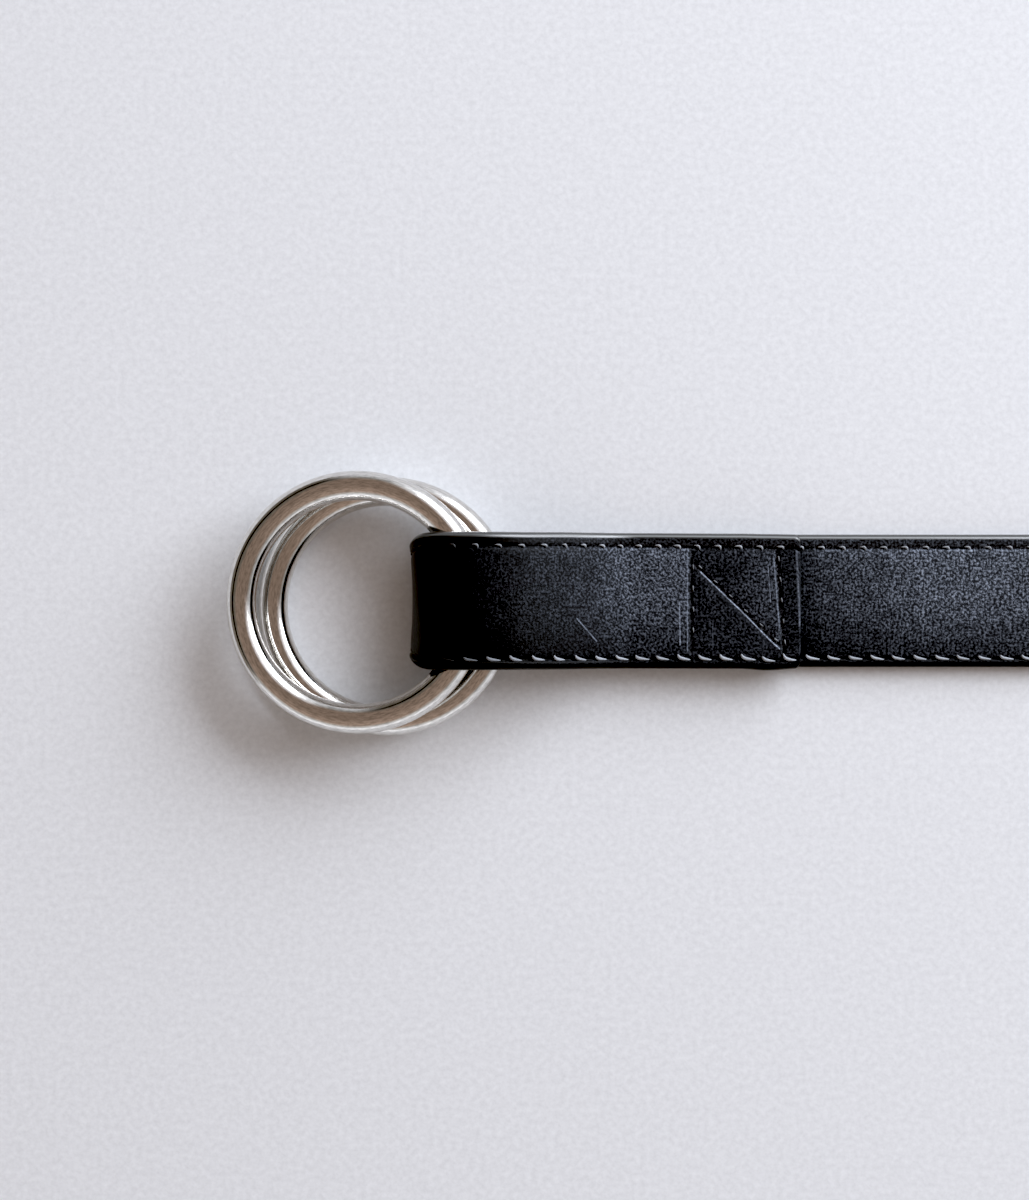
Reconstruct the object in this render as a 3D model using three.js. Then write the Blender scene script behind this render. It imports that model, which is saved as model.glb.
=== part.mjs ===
// Ring belt: a black leather strap whose end goes round two plain rings, folds back on top of itself and is
// sewn down. Millimetres, +Z up, lying on the plane Z = 0. +X runs along the strap, from the rings to its tip.
import * as THREE from 'three';
import { mergeVertices } from 'three/addons/utils/BufferGeometryUtils.js';

// Driving dimensions. X starts at the outside of the fold, and Y at the middle of the strap's width.
const STRAP = {
  width: 30,
  thickness: 3,
  tip: 149.4, // from the fold to the strap's free end
  tipRound: 4, // corners of the free end, seen from above
  flap: 87.4, // from the fold to the cut end of the part that is folded back
  flapRound: 1.2,
  edgeRound: 1.2, // of the long edges, seen from the end
  flapGap: 0.3, // between the flap and the strap under it
};
const RING = { bore: 45, wire: 6.5, gap: 0.35 };
// The side of the lower ring that is inside the fold lies on the strap, and so stands higher by the rise.
const RING_LOWER = { x: -5.25, y: -1.2, rise: 3.65 };
const RING_UPPER = { x: -11.5, y: -0.3, tilt: 4.3 }; // degrees
const LOOP = {
  bend: 11.8, // where the strap leaves the table
  crest: 13, // where the loop is highest
  landing: 51, // where the flap lies flat again
  crestHandle: 15, // how long the slope keeps the crest's level
  landingHandle: 13, // and the flap's
  flare: 0.8, // how far the edges of the fold stand out past its middle
  nip: 1.1, // how much each edge draws in at the fold
};

// The long edges of the flap, which is sewn down a little askew and spreads under the box stitch.
const FLAP_EDGES = [
  { x: 24, upper: 15, lower: -15 },
  { x: 51, upper: 15, lower: -15.35 },
  { x: 74, upper: 15, lower: -15.35 },
  { x: 80, upper: 15, lower: -15.6 },
  { x: 87.4, upper: 14.9, lower: -15.2 },
];

// How fine each shape is.
const FACETS = { round: 64, wire: 16, bend: 22, slope: 18, corner: 3, across: 6, end: 4 };

const ringRadius = (RING.bore + RING.wire) / 2;
const wireRadius = RING.wire / 2;

// Heights of the middle of the leather: on the table, on the flap and over the upper ring.
const tableLevel = STRAP.thickness / 2;
const flapLevel = STRAP.thickness * 1.5 + STRAP.flapGap;

// The lower ring stands on the table at its far side, and on the strap inside the fold.
function placeLowerRing() {
  const tilt = Math.asin(RING_LOWER.rise / (2 * ringRadius));
  const height = wireRadius + RING_LOWER.rise / 2;
  return { x: RING_LOWER.x, y: RING_LOWER.y, z: height, tilt };
}

// The upper ring lies on the lower one where the two cross, half way between their centres.
function placeUpperRing(lower) {
  const tilt = THREE.MathUtils.degToRad(RING_UPPER.tilt);
  const crossing = (RING_UPPER.x + lower.x) / 2;
  const contact = lower.z + (crossing - lower.x) * Math.tan(lower.tilt) + RING.wire + RING.gap;
  return { x: RING_UPPER.x, y: RING_UPPER.y, z: contact + (RING_UPPER.x - crossing) * Math.tan(tilt), tilt };
}

const lowerRing = placeLowerRing();
const upperRing = placeUpperRing(lowerRing);
const crestLevel = upperRing.z + ringRadius * Math.sin(upperRing.tilt) + wireRadius + RING.gap
  + STRAP.thickness / 2;

function makeRing(name, place, material) {
  const torus = new THREE.TorusGeometry(ringRadius, wireRadius, FACETS.wire, FACETS.round);
  const mesh = new THREE.Mesh(torus, material);
  mesh.name = name;
  mesh.position.set(place.x, place.y, place.z);
  mesh.rotation.y = -place.tilt;
  return mesh;
}

// The strap's route seen from the side, along the middle of its thickness, from the free end to the cut end.
function strapRoute() {
  const left = STRAP.thickness / 2;
  const middle = (tableLevel + crestLevel) / 2;
  const lie = new THREE.LineCurve(
    new THREE.Vector2(STRAP.tip, tableLevel), new THREE.Vector2(LOOP.bend, tableLevel));
  const fold = new THREE.EllipseCurve(
    LOOP.bend, middle, LOOP.bend - left, middle - tableLevel, -Math.PI / 2, -Math.PI * 1.5, true);
  const crest = new THREE.LineCurve(
    new THREE.Vector2(LOOP.bend, crestLevel), new THREE.Vector2(LOOP.crest, crestLevel));
  const slope = new THREE.CubicBezierCurve(
    new THREE.Vector2(LOOP.crest, crestLevel),
    new THREE.Vector2(LOOP.crest + LOOP.crestHandle, crestLevel),
    new THREE.Vector2(LOOP.landing - LOOP.landingHandle, flapLevel),
    new THREE.Vector2(LOOP.landing, flapLevel));
  const flap = new THREE.LineCurve(
    new THREE.Vector2(LOOP.landing, flapLevel), new THREE.Vector2(STRAP.flap, flapLevel));
  return { lie, fold, crest, slope, flap };
}

// Stations along one stretch of the route: a point, the way to the leather's outer side, and how far it bends.
function stations(curve, fractions, bending) {
  return fractions.map((t) => {
    const tangent = curve.getTangent(t);
    return {
      at: curve.getPoint(t),
      out: new THREE.Vector2(-tangent.y, tangent.x),
      bend: bending ? Math.sin(Math.PI * t) ** 2 : 0,
    };
  });
}

const even = (count, from = 1) => Array.from({ length: count + 1 - from }, (_, i) => (i + from) / count);

// Distances from a rounded end at which its corners need a station.
function endSteps(round) {
  const turn = Math.PI / 2 / FACETS.end;
  return Array.from({ length: FACETS.end + 1 }, (_, i) => round * (1 - Math.cos(i * turn)));
}

function cornerLoss(distance, round) {
  const short = Math.max(0, round - distance);
  return round - Math.sqrt(Math.max(0, round * round - short * short));
}

function flapEdges(x) {
  const last = FLAP_EDGES.length - 1;
  const next = Math.min(Math.max(FLAP_EDGES.findIndex((row) => row.x >= x), 1), last);
  const [a, b] = [FLAP_EDGES[next - 1], FLAP_EDGES[next]];
  const t = THREE.MathUtils.smoothstep(x, a.x, b.x);
  const between = (side) => THREE.MathUtils.lerp(a[side], b[side], t);
  return { upper: between('upper'), lower: between('lower') };
}

// The section across the strap, with its four long edges rounded: how far each point stands across the width
// and through the thickness, from the middle of both.
function sectionPoints(halfWidth) {
  const halfThick = STRAP.thickness / 2;
  const straight = halfThick - STRAP.edgeRound;
  const points = [];
  for (const [side, face] of [[1, 1], [-1, 1], [-1, -1], [1, -1]]) {
    const corner = [];
    for (let i = 0; i <= FACETS.corner; i += 1) {
      const angle = (i * Math.PI) / 2 / FACETS.corner;
      corner.push({
        across: side * (halfWidth - STRAP.edgeRound + STRAP.edgeRound * Math.cos(angle)),
        through: face * (straight + STRAP.edgeRound * Math.sin(angle)),
      });
    }
    points.push(...(side * face > 0 ? corner : corner.reverse()));
    if (side * face > 0) {
      const span = 2 * (halfWidth - STRAP.edgeRound);
      for (let i = 1; i < FACETS.across; i += 1) {
        points.push({
          across: side * (halfWidth - STRAP.edgeRound - (span * i) / FACETS.across),
          through: face * halfThick,
        });
      }
    }
  }
  return points;
}

// One closed ring of points round the strap at a station.
function strapSection(station, upper, lower) {
  const halfWidth = (upper - lower) / 2 - LOOP.nip * station.bend;
  const middle = (upper + lower) / 2;
  return sectionPoints(halfWidth).map(({ across, through }) => {
    const flare = LOOP.flare * station.bend * ((across / halfWidth) ** 2 - 1);
    const lift = through + flare;
    return new THREE.Vector3(
      station.at.x + station.out.x * lift, middle + across, station.at.y + station.out.y * lift);
  });
}

// Joins closed sections into one skin and closes both ends.
function loft(sections) {
  const positions = sections.flat().flatMap((point) => point.toArray());
  const size = sections[0].length;
  const faces = [];
  for (let s = 0; s + 1 < sections.length; s += 1) {
    for (let i = 0; i < size; i += 1) {
      const j = (i + 1) % size;
      const [a, b, c, d] = [s * size + i, s * size + j, (s + 1) * size + j, (s + 1) * size + i];
      faces.push(a, b, d, b, c, d);
    }
  }
  const lastSection = (sections.length - 1) * size;
  for (let i = 1; i + 1 < size; i += 1) {
    faces.push(0, i + 1, i, lastSection, lastSection + i, lastSection + i + 1);
  }
  const geometry = new THREE.BufferGeometry();
  geometry.setAttribute('position', new THREE.Float32BufferAttribute(positions, 3));
  geometry.setIndex(faces);
  return mergeVertices(geometry);
}

function makeStrap(material) {
  const route = strapRoute();
  const lieLength = STRAP.tip - LOOP.bend;
  const flapLength = STRAP.flap - LOOP.landing;
  const tipSteps = endSteps(STRAP.tipRound).map((d) => d / lieLength);
  const flapSteps = endSteps(STRAP.flapRound).map((d) => 1 - d / flapLength).reverse();
  const flapTable = FLAP_EDGES.map((row) => (row.x - LOOP.landing) / flapLength)
    .filter((t) => t > 0 && t < flapSteps[0]);
  const lying = stations(route.lie, [...tipSteps, ...even(4)], false);
  const folded = [
    ...stations(route.fold, even(FACETS.bend), true),
    ...stations(route.crest, [1], false),
    ...stations(route.slope, even(FACETS.slope), false),
    ...stations(route.flap, [...flapTable, ...flapSteps], false),
  ];
  const half = STRAP.width / 2;
  const sections = [
    ...lying.map((station) => {
      const loss = cornerLoss(STRAP.tip - station.at.x, STRAP.tipRound);
      return strapSection(station, half - loss, loss - half);
    }),
    ...folded.map((station) => {
      const onFlap = station.at.y > flapLevel - tableLevel / 2 && station.at.x > FLAP_EDGES[0].x;
      const edges = onFlap ? flapEdges(station.at.x) : { upper: half, lower: -half };
      const loss = cornerLoss(STRAP.flap - station.at.x, STRAP.flapRound);
      return strapSection(station, edges.upper - loss, edges.lower + loss);
    }),
  ];
  const mesh = new THREE.Mesh(loft(sections), material);
  mesh.name = 'strap';
  return mesh;
}

const leather = new THREE.MeshStandardMaterial({ color: '#24262a', roughness: 0.62, metalness: 0 });
const steel = new THREE.MeshStandardMaterial({ color: '#c9c8c4', roughness: 0.12, metalness: 1 });

const belt = new THREE.Group();
belt.name = 'ring_belt';
belt.add(makeStrap(leather));
belt.add(makeRing('ring_lower', lowerRing, steel));
belt.add(makeRing('ring_upper', upperRing, steel));

// The origin is the middle of the belt's box, on the surface that it lies on.
belt.updateMatrixWorld(true);
const box = new THREE.Box3().setFromObject(belt, true);
belt.position.set(-(box.min.x + box.max.x) / 2, -(box.min.y + box.max.y) / 2, -box.min.z);
belt.updateMatrixWorld(true);

export default belt;
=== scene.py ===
"""Ring belt: a black waxed leather strap, folded round two polished steel rings and sewn down.

Laid out as an add-on: settings for each piece, an operator that builds it, and a panel that lists them.
Metres, +Z up. The belt lies on the plane Z = 0, with +X from the rings to the strap's free end.
"""
import math
import random
from bisect import bisect_left, bisect_right
from collections import namedtuple
from functools import partial

import bmesh
import bpy
from mathutils import Matrix, Vector


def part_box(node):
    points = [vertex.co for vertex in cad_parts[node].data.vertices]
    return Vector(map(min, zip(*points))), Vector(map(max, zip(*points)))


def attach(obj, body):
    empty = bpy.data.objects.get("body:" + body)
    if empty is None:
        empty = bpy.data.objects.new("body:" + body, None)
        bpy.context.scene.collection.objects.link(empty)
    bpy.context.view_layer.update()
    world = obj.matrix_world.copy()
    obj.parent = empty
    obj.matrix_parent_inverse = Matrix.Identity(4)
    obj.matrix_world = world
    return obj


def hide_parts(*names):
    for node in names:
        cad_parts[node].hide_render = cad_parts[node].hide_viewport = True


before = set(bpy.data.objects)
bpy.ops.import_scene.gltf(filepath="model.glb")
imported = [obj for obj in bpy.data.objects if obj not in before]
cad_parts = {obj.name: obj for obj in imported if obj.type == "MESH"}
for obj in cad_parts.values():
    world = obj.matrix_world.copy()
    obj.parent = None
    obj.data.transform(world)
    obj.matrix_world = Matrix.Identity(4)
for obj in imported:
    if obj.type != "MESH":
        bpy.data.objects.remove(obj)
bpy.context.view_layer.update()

bl_info = {
    "name": "Ring belt",
    "version": (1, 0, 0),
    "blender": (4, 5, 0),
    "location": "View3D > Sidebar > Ring belt",
    "description": "Builds a leather ring belt with sewn edges, a box stitch and two polished rings",
    "category": "Add Mesh",
}

MM = 0.001
SAME_PLACE = 0.001 * MM  # vertices closer than this are one
STRAP_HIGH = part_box("strap")[1]


def table(columns, *rows):
    """The rows of a table, each with its values by the names of their columns."""
    return [dict(zip(columns.split(), row)) for row in rows]


# The long edges of the flap, in millimetres from the fold and from the strap's centre line. It is sewn down a
# little askew and spreads under the box stitch.
FLAP_EDGES = table(
    "x upper lower",
    (24.0, 15.0, -15.0),
    (36.0, 15.2, -15.15),
    (51.0, 15.2, -15.2),
    (74.0, 15.1, -15.25),
    (80.0, 15.0, -15.6),
    (87.4, 14.9, -15.2))

# How much grey wax bloom shows along the faces that are up, in millimetres from the fold. The leather is bare
# where the fold has stretched it, which also paints in the shade of the fold's face that turns away from the
# window;
# just past the flap's end the bloom is low and rises over the next 30 mm.
BLOOM_ON_FLAP = table(
    "x amount", (8.0, 0.0), (20.0, 0.08), (29.0, 0.17), (38.0, 0.24), (50.0, 0.72), (60.0, 0.71))
BLOOM_ON_STRAP = table("x amount", (87.4, 0.15), (94.0, 0.45), (104.0, 0.58), (116.0, 0.86))
# The bloom in the box stitch is kept low, also as painted shade where the stitching pulls the leather down.
BLOOM_INSIDE, BLOOM_UNDER, BLOOM_IN_BOX = 0.5, 0.4, 0.19
# The upper borders get more bloom than the lower one, as painted light on the side that faces the window.
BLOOM_ON_UPPER_BORDER = {"outer": 0.15, "inner": 0.26}
BLOOM_ON_LOWER_BORDER = 0.07

# The same for the thread: near the fold its stitches take the dark bare colour, as painted shade where the
# fold turns away from the window.
BLOOM_ON_THREAD = table("x amount", (9.0, 0.0), (15.0, 0.5), (26.0, 0.85), (36.0, 1.0))

# Stitches along the flap's edges, evenly spaced as seen from above, in millimetres from the fold.
FLAP_STITCHES = table(
    "edge from to stitches",
    ("upper", 83.6, 64.9, 4),
    ("upper", 64.9, 29.9, 8),
    ("upper", 29.9, 15.4, 3),
    ("lower", 83.6, 12.4, 15))

# Stitches along the edges of the strap's lying part, on the side that is up: where one starts and how far it
# is to the next.
STRAP_STITCHES = table("edge first pitch", ("upper", 98.0, 4.71), ("lower", 98.84, 4.87))

# How a stitch shows: which way along its row it runs from its knot, and in millimetres how far beside its row
# it lies, how long it is, how far its knot reaches across the row, how much it slants and how deep the middle
# of its thread lies below the plain face. Thick and thin are its two ends, against the thread's thickness.
STITCH_FORMS = {form.pop("name"): form for form in table(
    "name way aside shown knot slant sink thick thin",
    ("upper", -1, 0.35, 1.8, -0.95, 0.0, 0.24, 1.25, 0.2),
    ("lower", 1, 0.0, 3.4, 1.1, 0.4, 0.32, 1.85, 0.4),
    ("box", 1, -0.5, 1.2, 0.0, 0.2, 0.24, 0.7, 0.3),
    ("box_under", 1, 0.0, 3.0, 0.0, 0.3, 0.3, 1.1, 0.8))}

# The room's light by height, where 0 is the horizon and 1 straight up, and that of its dim side.
ROOM = table(
    "up light", (0.0, "#d6d7dd"), (0.2, "#c8c9ce"), (0.38, "#a5a4a5"), (0.52, "#928a85"), (0.64, "#89786e"))
DIM_SIDE = "#6f6963"

# The lines of the box stitch on the flap, from end to end, in millimetres from the fold and the centre line.
BOX_LINES = {
    "left": ((62.95, 10.6), (62.95, -11.4)),
    "diagonal": ((63.4, 8.5), (83.5, -10.8)),
    "right": ((81.9, 10.9), (83.6, -11.6)),
}

# Scratches and creases in the wax, and painted highlights where the window light catches the box's groove
# rims, the slope below its diagonal and the flap's cut end: both ends and how wide each, in millimetres, and
# how light.
MARKS = table(
    "name ends wide light",
    ("scratch on the flap", ((36.4, -3.8), (41.0, -8.8)), 0.26, 0.5),
    ("crease before the box", ((60.3, -0.4), (60.4, -9.6)), 0.26, 0.75),
    ("upper scratch in the box", ((80.1, 8.1), (80.7, 0.0)), 0.2, 0.5),
    ("lower scratch in the box", ((67.7, -5.6), (67.8, -10.2)), 0.24, 0.2),
    ("rim before the box", ((62.05, 10.8), (62.05, -11.0)), 0.22, 0.5),
    ("rim below the diagonal", ((65.0, 6.45), (82.7, -10.25)), 0.26, 1.0),
    ("slope below the diagonal", ((65.4, 5.0), (81.0, -9.7)), 0.9, 0.07),
    ("rim at the right line", ((81.4, 9.5), (82.7, -5.5)), 0.3, 0.5),
    ("rim of the cut end", ((86.5, 11.2), (87.2, -5.6)), 0.5, 0.33))

# Patterns of the surfaces. Sizes are in millimetres, and those of the steel run along the wire and round it.
# The thread's fibres, the paper's tooth and the steel's lines are coarser than real ones, so that they show.
WAX_CLOUD, THREAD_FIBRE, PAPER_TOOTH = 3.5, 0.25, 1.3
WAX_STROKE = (5.0, 0.8)  # how long and wide, against the size of a speck
WAX_STROKE_ANGLES = (math.radians(45), math.radians(90))
WAX_STROKE_SHARE = 0.22  # how much the strokes count beside the specks
STEEL_PATTERNS = table(
    "name along round detail",
    ("lines", 16.0, 0.45, 3.0),
    ("waves", 11.0, 3.8, 1.0),
    ("streaks", 1.8, 0.4, 3.0))

# How dark and how light the pattern makes each material, against its own colour, and the steel's roughness.
THREAD_SHADES, STEEL_SHADES, PAPER_SHADES = (0.55, 1.45), (0.8, 1.13), (0.86, 1.14)
STEEL_ROUGHNESS = (0.7, 1.5)
LEATHER_FINISH = ("bloom", "burnish", "upright", "worn")  # attributes that the leather's material reads


def linear(code):
    """An sRGB hex colour as the linear values that Blender works in."""
    values = [int(code[i:i + 2], 16) / 255 for i in (1, 3, 5)]
    return tuple(v / 12.92 if v <= 0.04045 else ((v + 0.055) / 1.055) ** 2.4 for v in values)


def rgba(colour, factor=1.0):
    return (*(min(1.0, value * factor) for value in colour), 1.0)


def mix(a, b, share):
    return a + (b - a) * share


def smooth(value, low, high):
    """0 below low, 1 above high, and an S between them."""
    t = min(max((value - low) / (high - low), 0.0), 1.0)
    return t * t * (3 - 2 * t)


def bell(distance, width):
    return math.exp(-(distance / width) ** 2)


def table_value(rows, x, column):
    """The value of a column at x, with an S between one row and the next."""
    if x <= rows[0]["x"]:
        return rows[0][column]
    for before, after in zip(rows, rows[1:]):
        if x <= after["x"]:
            return mix(before[column], after[column], smooth(x, before["x"], after["x"]))
    return rows[-1][column]


def distance_to_line(x, y, ends):
    (ax, ay), (bx, by) = ends
    along = ((x - ax) * (bx - ax) + (y - ay) * (by - ay)) / ((bx - ax) ** 2 + (by - ay) ** 2)
    along = min(max(along, 0.0), 1.0)
    return math.hypot(x - mix(ax, bx, along), y - mix(ay, by, along))


def setting(name, description, default, **kind):
    return bpy.props.FloatProperty(name=name, description=description, default=default, **kind)


def length_setting(name, description, millimetres):
    return setting(name, description, millimetres * MM, unit="LENGTH", precision=5)


def colour_setting(name, description, code):
    return bpy.props.FloatVectorProperty(
        name=name, description=description, default=linear(code), subtype="COLOR", min=0.0, max=1.0)


class RINGBELT_PG_strap(bpy.types.PropertyGroup):
    """Sizes and colours of the leather strap."""
    width: length_setting("Width", "Width of the strap", 30.0)
    thickness: length_setting("Thickness", "Thickness of the leather", 3.0)
    tip: length_setting("Length", "From the outside of the fold to the free end", 149.4)
    flap: length_setting("Flap", "From the outside of the fold to the flap's cut end", 87.4)
    edge: length_setting("Edge rounding", "How far in from the edge its rounding starts", 1.25)
    grain: length_setting("Grain", "Size of one speck of the bloom", 0.58)
    black: colour_setting("Leather", "Dyed leather without bloom", "#070708")
    bloom: colour_setting("Bloom", "Grey wax on the surface", "#a9b4c6")
    # A painted highlight: the pale line where the upper edge's rounding catches the window light.
    worn: colour_setting("Worn edge", "The edge's rounding where it is rubbed", "#a8adad")


class RINGBELT_PG_stitches(bpy.types.PropertyGroup):
    """Sizes and colour of the sewing."""
    upper_row: length_setting("Upper row", "From the upper edge to its stitches", 3.1)
    lower_row: length_setting("Lower row", "From the lower edge to its stitches", 2.2)
    inner_row: length_setting("Inner lower row", "The same on the leather's inner face", 1.95)
    pitch: length_setting("Pitch", "From one stitch to the next where no row gives it", 4.7)
    thread: length_setting("Thread", "Thickness of the thread", 0.6)
    groove: length_setting("Groove", "How deep the thread pulls the leather in", 0.42)
    colour: colour_setting("Thread colour", "Bonded thread with wax on it", "#a4aab2")
    # Also painted shade: stitches near the fold take this dark colour.
    bare: colour_setting("Bare thread", "Bonded thread without wax", "#101113")


class RINGBELT_PG_rings(bpy.types.PropertyGroup):
    """Size and finish of the rings."""
    wire: length_setting("Wire", "Thickness of the wire", 6.5)
    colour: colour_setting("Steel", "Colour of the polished steel", "#dedcd8")
    roughness: setting("Roughness", "How dull the polish is", 0.1, min=0.0, max=1.0, subtype="FACTOR")


class RINGBELT_PG_stage(bpy.types.PropertyGroup):
    """Camera, light and floor."""
    height: length_setting("Camera height", "From the floor to the camera", 390.0)
    camera_x: length_setting("Camera X", "The camera's place along the belt", -31.09)
    camera_y: length_setting("Camera Y", "The camera's place across the belt", 0.94)
    lens: setting("Lens", "Focal length on a 36 mm sensor", 51.48, unit="CAMERA")
    azimuth: setting("Light direction", "From +X towards +Y", math.radians(41), subtype="ANGLE")
    elevation: setting("Light elevation", "Above the floor", math.radians(25), subtype="ANGLE")
    power: setting("Light power", "Power of the window light", 43.0, unit="POWER")
    glow: setting("Glow", "How bright the walls are round the window", 1.35, min=0.0)
    fill: setting("Fill", "How much brighter the wall across the belt's lower side is", 0.75, min=0.0)
    beam: colour_setting("Beam", "Darkest part of the ceiling", "#000000")
    window: colour_setting("Window", "Daylight", "#f0f5ff")
    paper: colour_setting("Paper", "Colour of the floor", "#ebeef1")


SETTINGS = {
    "ringbelt_strap": RINGBELT_PG_strap,
    "ringbelt_stitches": RINGBELT_PG_stitches,
    "ringbelt_rings": RINGBELT_PG_rings,
    "ringbelt_stage": RINGBELT_PG_stage,
}


# A mix has sockets of one name for each kind of value: 0 is its share, and 2 and 3 are its two numbers.
MIX_A, MIX_B = 6, 7  # its two colours


def set_inputs(node, inputs):
    """Sets a node's inputs. A socket or a node's first output in use is linked, and the rest are values."""
    for name, value in inputs.items():
        if isinstance(value, bpy.types.Node):
            value = next(output for output in value.outputs if output.enabled)
        if isinstance(value, bpy.types.NodeSocket):
            node.id_data.links.new(value, node.inputs[name])
        else:
            node.inputs[name].default_value = value


def add_node(tree, kind, inputs=(), **settings):
    """Adds a shader node of a kind, with its settings and inputs."""
    node = tree.nodes.new("ShaderNode" + kind)
    for name, value in settings.items():
        setattr(node, name, value)
    set_inputs(node, dict(inputs))
    return node


def new_material(name):
    """A material with a bare Principled shader, and what adds a node to it."""
    material = bpy.data.materials.new(name)
    material.use_nodes = True
    material.node_tree.nodes.clear()
    add = partial(add_node, material.node_tree)
    shader = add("BsdfPrincipled")
    add("OutputMaterial", {"Surface": shader})
    return material, shader, add


def mark_mask(add, point, start, end, wide):
    """1 on the line between two points of the developed leather, and 0 further from it than wide."""
    along = Vector((end[0] - start[0], end[1] - start[1], 0))
    offset = add("VectorMath", {0: point, 1: (*start, 0)}, operation="SUBTRACT")
    reach = add("VectorMath", {0: offset, 1: along / along.length_squared}, operation="DOT_PRODUCT")
    share = add("Math", {0: reach, 1: 0.0}, operation="ADD", use_clamp=True)
    nearest = add("VectorMath", {0: along, "Scale": share}, operation="SCALE")
    away = add("VectorMath", {0: offset, 1: nearest}, operation="DISTANCE")
    return add(
        "MapRange", {"Value": away, "From Max": wide, "To Min": 1.0, "To Max": 0.0},
        interpolation_type="SMOOTHSTEP")


def leather_material(strap, shape):
    """Waxed bridle leather: dyed through, black and smooth on its burnished edges, with grey wax bloom that
    stands on the grain and breaks up into specks of about half a millimetre."""
    material, shader, add = new_material("Waxed bridle leather")
    flat = add("UVMap", uv_map="developed")
    point = add("VectorMath", {0: flat, "Scale": 1 / MM}, operation="SCALE")
    bloom, burnish, upright, worn = (
        add("Attribute", attribute_name=name).outputs["Fac"] for name in LEATHER_FINISH)
    grain = strap.grain / MM

    # The wax was brushed on: slantwise before the box stitch, and straight across on the rest.
    specks = add("TexNoise", {"Vector": point, "Scale": 1 / grain, "Detail": 3.0, "Roughness": 0.65})
    long, wide = WAX_STROKE
    strokes = []
    for angle in WAX_STROKE_ANGLES:
        turned = add(
            "Mapping",
            {"Vector": point, "Rotation": (0, 0, angle), "Scale": (long * grain, wide * grain, 1)},
            vector_type="TEXTURE")
        strokes.append(add("TexNoise", {"Vector": turned, "Scale": 1.0, "Detail": 2.0, "Roughness": 0.55}))
    stroke = add("Mix", {0: upright, 2: strokes[0], 3: strokes[1]})
    pattern = add("Mix", {0: WAX_STROKE_SHARE, 2: specks, 3: stroke})
    speck = add(
        "MapRange", {"Value": pattern, "From Min": 0.44, "From Max": 0.66, "To Min": 0.07, "To Max": 0.9},
        interpolation_type="SMOOTHSTEP")

    # It lies thicker in some places than in others.
    cloud = add("TexNoise", {"Vector": point, "Scale": 1 / WAX_CLOUD, "Detail": 3.0, "Roughness": 0.6})
    patch = add(
        "MapRange", {"Value": cloud, "From Min": 0.3, "From Max": 0.7, "To Min": 0.55, "To Max": 1.2})
    waxed = add("Math", {0: bloom, 1: patch}, operation="MULTIPLY")
    wax = add("Math", {0: speck, 1: waxed}, operation="MULTIPLY")
    broken = add(
        "MapRange", {"Value": pattern, "From Min": 0.42, "From Max": 0.58, "To Min": 0.35, "To Max": 1.2})
    # The rims and the slope below the diagonal are painted highlights; the scratches and the crease are marks
    # in the wax.
    for mark in MARKS:
        start, end = (shape.developed_on_flap(*point_on_flap) for point_on_flap in mark["ends"])
        mask = mark_mask(add, point, start, end, mark["wide"])
        light = add("Math", {0: broken, 1: mark["light"]}, operation="MULTIPLY")
        scratched = add("Math", {0: mask, 1: light}, operation="MULTIPLY")
        wax = add("Math", {0: wax, 1: scratched}, operation="MAXIMUM", label=mark["name"])
    waxed_colour = add("Mix", {0: wax, MIX_A: rgba(strap.black), MIX_B: rgba(strap.bloom)}, data_type="RGBA")
    # The pale line on the upper edge's rounding is a painted highlight.
    colour = add("Mix", {0: worn, MIX_A: waxed_colour, MIX_B: rgba(strap.worn)}, data_type="RGBA")

    # Burnishing closes the grain, so the edges are glossier and nearly flat.
    dull = add("MapRange", {"Value": wax, "To Min": 0.4, "To Max": 0.72})
    height = add("Math", {0: pattern, 1: wax}, operation="ADD")
    depth = add("Mix", {0: burnish, 2: 1.0, 3: 0.08})
    raised = add("Math", {0: height, 1: depth}, operation="MULTIPLY")
    set_inputs(shader, {
        "Base Color": colour,
        "Roughness": add("Mix", {0: burnish, 2: dull, 3: 0.34}),
        "Specular IOR Level": add("Mix", {0: burnish, 2: 0.08, 3: 0.5}),
        "Coat Weight": burnish,
        "Coat Roughness": 0.22,
        "Normal": add("Bump", {"Distance": 0.12 * MM, "Height": raised})})
    return material


def thread_material(stitches):
    """Bonded polyester thread: charcoal, with a dull resin coat over its twist."""
    material, shader, add = new_material("Bonded polyester thread")
    place = add("TexCoord").outputs["Object"]
    fibre = add(
        "TexNoise", {"Vector": place, "Scale": 1 / (THREAD_FIBRE * MM), "Detail": 2.0, "Roughness": 0.6})
    dark, light = (rgba(stitches.colour, shade) for shade in THREAD_SHADES)
    waxed = add("Mix", {0: fibre, MIX_A: dark, MIX_B: light}, data_type="RGBA")
    # The bloom attribute mixes in the dark colour: for random wax, and as painted shade near the fold.
    bloom = add("Attribute", attribute_name="bloom").outputs["Fac"]
    bare = rgba(stitches.bare)
    set_inputs(shader, {
        "Base Color": add("Mix", {0: bloom, MIX_A: bare, MIX_B: waxed}, data_type="RGBA"),
        "Roughness": 0.45,
        "Specular IOR Level": 0.25,
        "Normal": add("Bump", {"Strength": 0.6, "Distance": 0.08 * MM, "Height": fibre})})
    return material


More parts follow.
